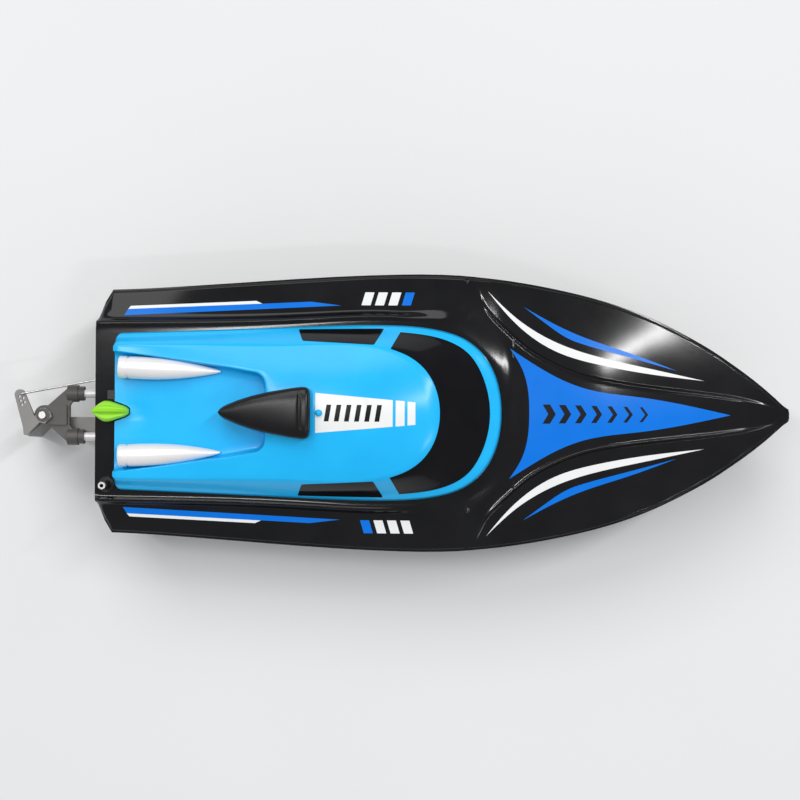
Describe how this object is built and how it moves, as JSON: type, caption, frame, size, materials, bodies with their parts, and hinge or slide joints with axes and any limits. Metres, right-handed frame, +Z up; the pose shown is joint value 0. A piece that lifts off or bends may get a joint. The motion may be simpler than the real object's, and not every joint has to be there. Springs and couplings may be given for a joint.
{
  "type": "rc boat",
  "caption": "Radio-controlled pool racing boat with a tilting clip-on canopy, locking knob, steered rudder on stand-off rods and a motor-driven propeller in a tunnel.",
  "frame": {"origin": "centre of the flat keel pad that the hull rests on, at mid-length of the hull", "axes": "+X towards the bow, +Y to port, +Z up"},
  "size_m": [0.3607, 0.1282, 0.088],
  "materials": {
    "hull_black": "gloss moulded black",
    "canopy_blue": "gloss moulded sky blue",
    "glazing": "gloss black tinted",
    "silver": "bright silver plating",
    "scoop_black": "satin black",
    "knob_green": "lime green moulded",
    "bracket_grey": "dark grey glass-filled nylon",
    "rudder_grey": "light grey anodised",
    "steel": "bright steel",
    "brass": "turned brass",
    "rubber": "black rubber",
    "silicone": "translucent white silicone",
    "clear_cover": "clear smoke plastic",
    "servo_black": "satin black",
    "horn_white": "white nylon",
    "prop_black": "black glass-filled nylon",
    "motor_steel": "zinc plated steel",
    "jacket": "blue anodised aluminium",
    "battery_wrap": "shrink wrap",
    "strap": "hook and loop strap",
    "board_green": "solder mask",
    "chip": "moulded components",
    "hose": "translucent silicone hose",
    "lead": "silicone covered wire",
    "decal_blue": "printed film",
    "decal_white": "printed film"
  },
  "bodies": {
    "hull": {"hull_shell": "hull_black", "deck_shell": "hull_black", "canopy_seal": "rubber", "inner_cover": "clear_cover", "inner_cover_gasket": "rubber", "lock_washer": "steel", "outlet_post": "scoop_black", "outlet_nozzle": "steel", "rudder_bracket": "bracket_grey", "standoff_rods": "silver", "rod_collars": "bracket_grey", "rod_nuts": "steel", "rudder_brace": "rudder_grey", "pushrod_seal": "silicone", "servo_case": "servo_black", "servo_mount": "scoop_black", "servo_screws": "steel", "stuffing_tube": "brass", "shaft_bushings": "brass", "motor_can": "motor_steel", "motor_endbell": "servo_black", "cooling_jacket": "jacket", "motor_mount": "silver", "motor_mount_screws": "steel", "battery_pack": "battery_wrap", "battery_strap": "strap", "battery_tray": "scoop_black", "board_parts": "chip", "receiver_board": "board_green", "board_posts": "scoop_black", "board_screws": "steel", "cooling_hoses": "hose", "water_pickup": "brass", "motor_leads": "lead"},
    "canopy": {"canopy": "canopy_blue", "windscreen": "glazing", "side_window_left": "glazing", "side_window_right": "glazing", "exhaust_left": "silver", "exhaust_right": "silver", "air_scoop": "scoop_black", "scoop_button": "canopy_blue", "lock_catch": "scoop_black"},
    "lock_knob": {"lock_knob": "knob_green", "lock_screw": "steel"},
    "rudder": {"rudder_blade": "rudder_grey", "tiller_arm": "rudder_grey", "rudder_stock": "steel", "pivot_screw": "steel", "pivot_washer": "bracket_grey"},
    "servo_horn": {"servo_horn": "horn_white", "horn_screw": "steel"},
    "pushrod": {"pushrod": "steel"},
    "propeller": {"propeller": "prop_black", "drive_dog": "brass", "prop_nut": "brass", "drive_shaft": "steel", "motor_shaft": "steel", "coupling": "silver", "coupling_set_screws": "steel"}
  },
  "joints": [
    {"name": "canopy_tilt", "type": "hinge", "parent": "hull", "child": "canopy", "pos_m": [0.025, 0, 0.0576], "axis": [0, 1, 0], "range_deg": [0, 25]},
    {"name": "lock_turn", "type": "hinge", "parent": "hull", "child": "lock_knob", "pos_m": [-0.154, 0, 0.0624], "axis": [0, 0, 1], "range_deg": [0, 90]},
    {"name": "rudder_steer", "type": "hinge", "parent": "hull", "child": "rudder", "pos_m": [-0.1878, -0.0022, 0.0357], "axis": [0, 0, 1], "range_deg": [-90, 0]},
    {"name": "servo_turn", "type": "hinge", "parent": "hull", "child": "servo_horn", "pos_m": [-0.1128, 0.0121, 0.0384], "axis": [0, 0, 1], "range_deg": [-90, 0]},
    {"name": "pushrod_pivot", "type": "hinge", "parent": "servo_horn", "child": "pushrod", "pos_m": [-0.1227, 0.022, 0.0418], "axis": [0, 0, 1], "range_deg": [0, 90]},
    {"name": "propeller_spin", "type": "hinge", "parent": "hull", "child": "propeller", "pos_m": [-0.146, 0, 0.0138], "axis": [0.9925, 0, 0.1219], "continuous": true}
  ],
  "couplings": [
    {"joint": "servo_turn", "follows": "rudder_steer", "ratio": 1},
    {"joint": "pushrod_pivot", "follows": "rudder_steer", "ratio": -1}
  ]
}
